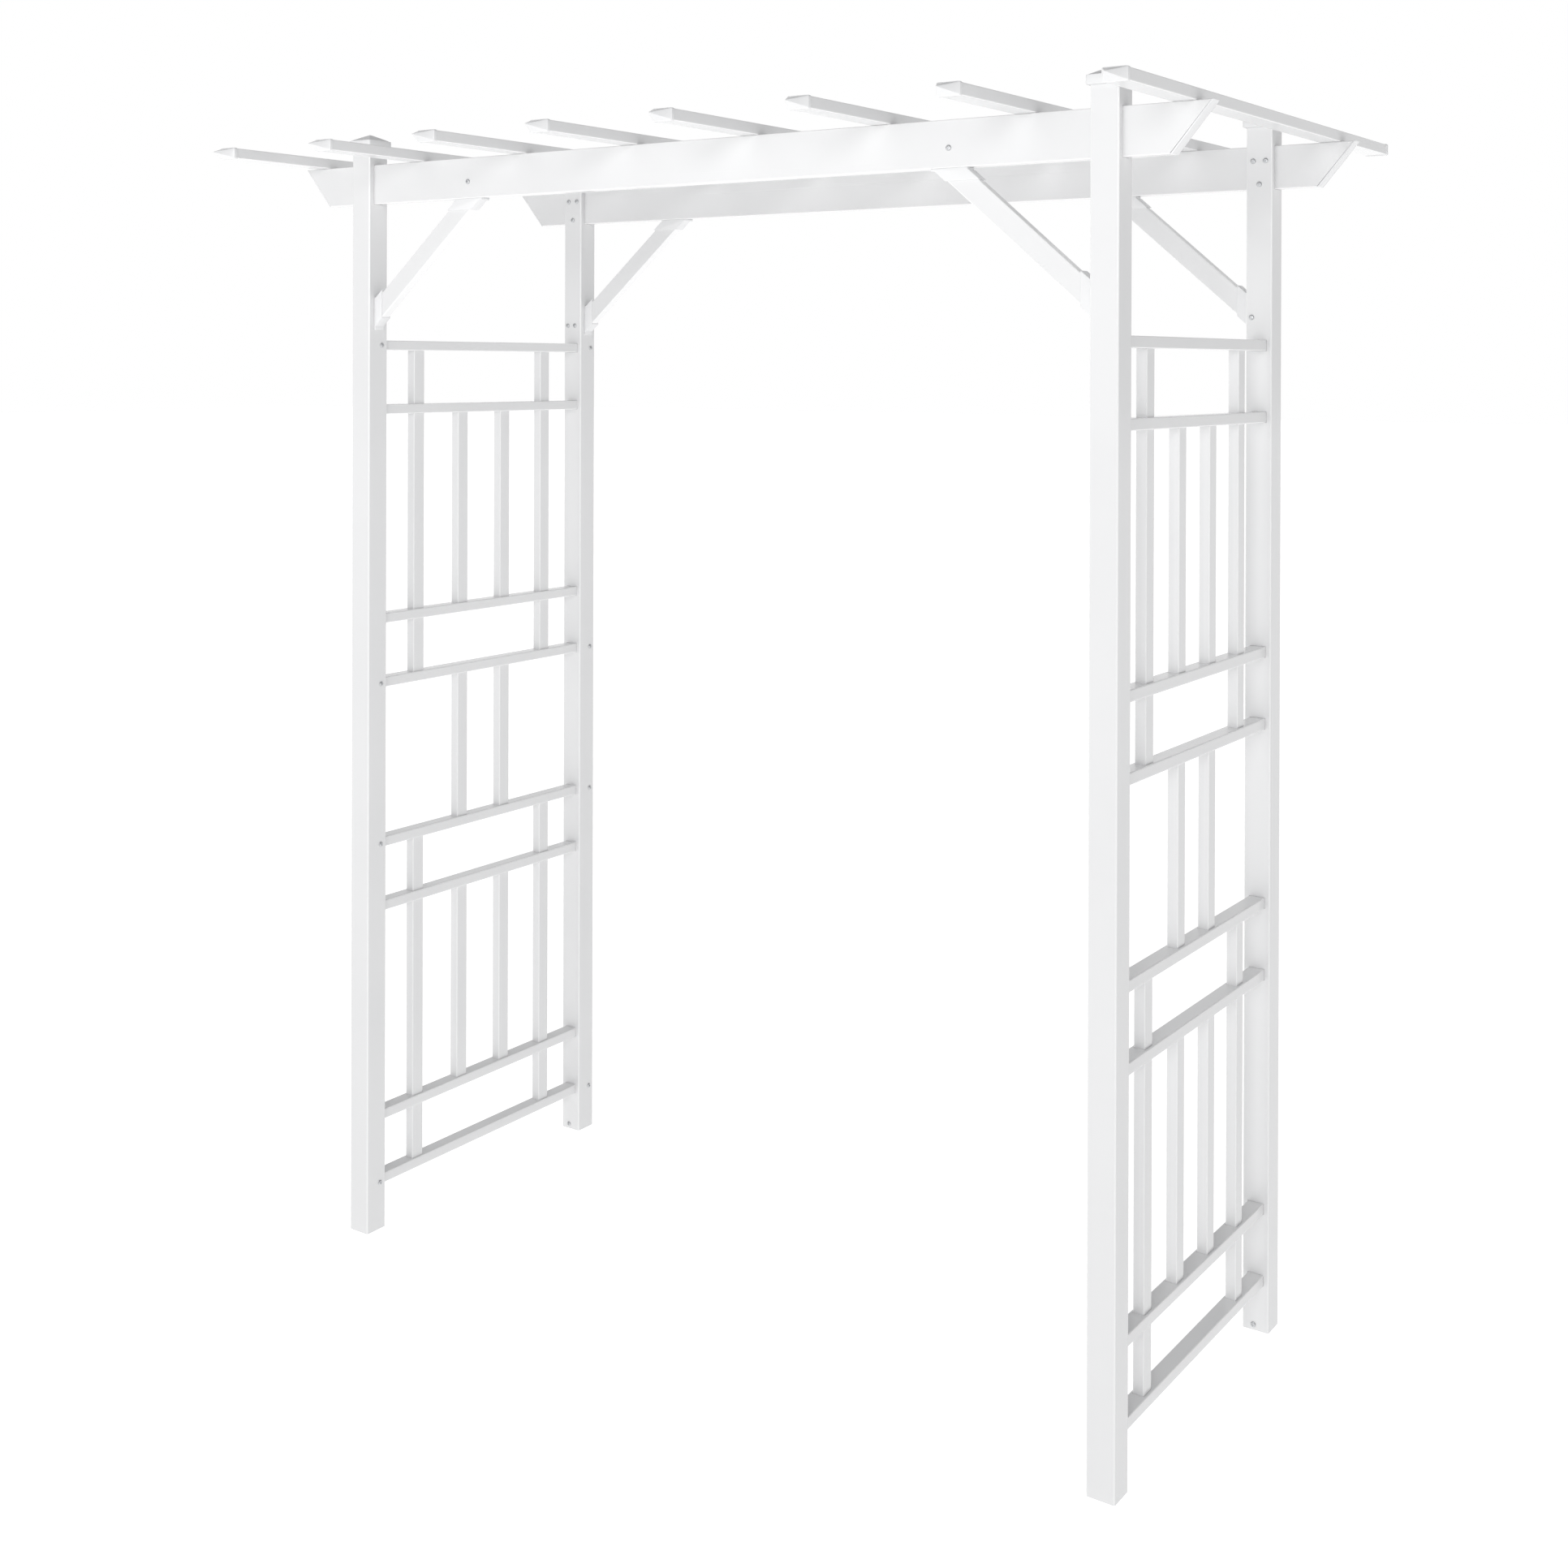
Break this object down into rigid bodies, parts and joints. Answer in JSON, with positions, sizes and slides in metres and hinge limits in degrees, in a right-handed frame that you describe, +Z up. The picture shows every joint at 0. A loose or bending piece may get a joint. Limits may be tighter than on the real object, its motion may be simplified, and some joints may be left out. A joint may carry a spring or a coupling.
{
  "type": "garden arch",
  "caption": "White metal trellis arch with lattice sides, twin beams and pointed rafters, a walk-through garden frame for climbing plants",
  "frame": {"origin": "middle of the footprint, on the ground that the four posts stand on", "axes": "+X along the two beams, +Y from the front beam to the back beam, +Z up"},
  "size_m": [2.01, 1.254, 2.249],
  "materials": {
    "white_metal": "gloss",
    "white_plastic": "gloss",
    "screw_steel": "satin"
  },
  "bodies": {
    "root": {"post_front_left": "white_metal", "post_front_right": "white_metal", "post_back_left": "white_metal", "post_back_right": "white_metal", "post_cap_front_left": "white_plastic", "post_cap_front_right": "white_plastic", "post_cap_back_left": "white_plastic", "post_cap_back_right": "white_plastic", "foot_plug_front_left": "white_plastic", "foot_plug_front_right": "white_plastic", "foot_plug_back_left": "white_plastic", "foot_plug_back_right": "white_plastic", "beam_front": "white_metal", "beam_back": "white_metal", "beam_end_front_left": "white_plastic", "beam_end_front_right": "white_plastic", "beam_end_back_left": "white_plastic", "beam_end_back_right": "white_plastic", "rafter_1": "white_metal", "rafter_2": "white_metal", "rafter_3": "white_metal", "rafter_4": "white_metal", "rafter_5": "white_metal", "rafter_6": "white_metal", "rafter_7": "white_metal", "rafter_8": "white_metal", "rafter_caps_front": "white_plastic", "rafter_caps_back": "white_plastic", "brace_front_left": "white_metal", "brace_front_right": "white_metal", "brace_back_left": "white_metal", "brace_back_right": "white_metal", "brace_post_shoes": "white_plastic", "brace_beam_shoes": "white_plastic", "rail_left_1": "white_metal", "rail_left_2": "white_metal", "rail_left_3": "white_metal", "rail_left_4": "white_metal", "rail_left_5": "white_metal", "rail_left_6": "white_metal", "rail_left_7": "white_metal", "rail_left_8": "white_metal", "rail_right_1": "white_metal", "rail_right_2": "white_metal", "rail_right_3": "white_metal", "rail_right_4": "white_metal", "rail_right_5": "white_metal", "rail_right_6": "white_metal", "rail_right_7": "white_metal", "rail_right_8": "white_metal", "outer_bars_left": "white_metal", "outer_bars_right": "white_metal", "inner_bars_left": "white_metal", "inner_bars_right": "white_metal", "rafter_screws": "screw_steel", "beam_screws": "screw_steel", "brace_screws": "screw_steel", "rail_screws": "screw_steel", "foot_screws": "screw_steel"}
  },
  "joints": []
}
